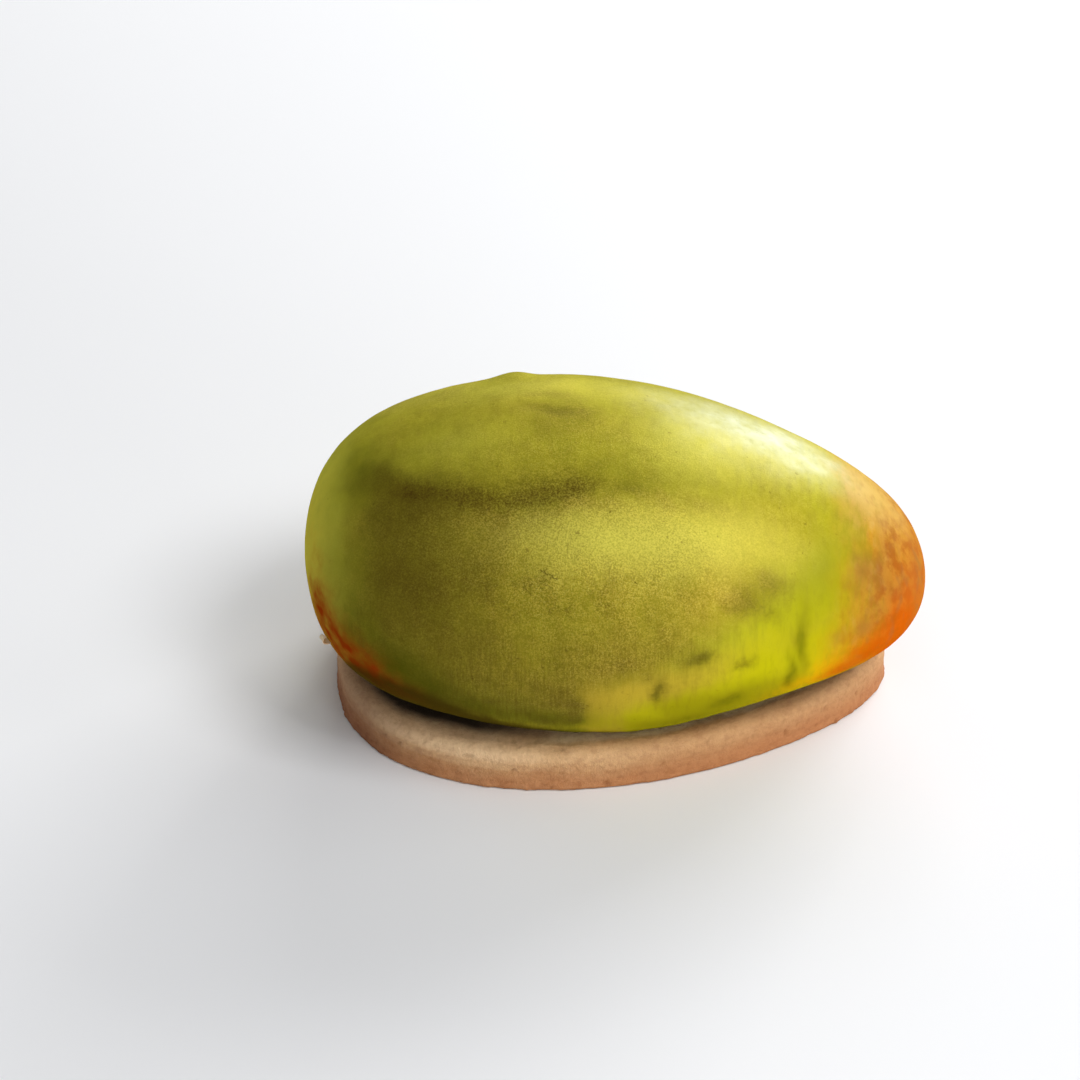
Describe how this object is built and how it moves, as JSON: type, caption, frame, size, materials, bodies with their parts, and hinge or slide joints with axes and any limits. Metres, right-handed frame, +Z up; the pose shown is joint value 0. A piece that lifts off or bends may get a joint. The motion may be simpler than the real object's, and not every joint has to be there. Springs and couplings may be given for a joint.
{
  "type": "mango-shaped dessert",
  "caption": "Mango-shaped moulded dessert with a velvety gold-dusted green, yellow and orange skin, resting flat on an egg-shaped biscuit base.",
  "frame": {"origin": "on the surface that the biscuit stands on, at the middle of the whole part's footprint", "axes": "+X along the mango from its blunt end to its narrow end, +Z up, and -Y is the side the picture shows"},
  "size_m": [0.105, 0.0686, 0.0551],
  "materials": {
    "mango_skin": "satin",
    "baked_biscuit": "matte"
  },
  "bodies": {
    "root": {"mango": "mango_skin", "biscuit_base": "baked_biscuit"}
  },
  "joints": []
}
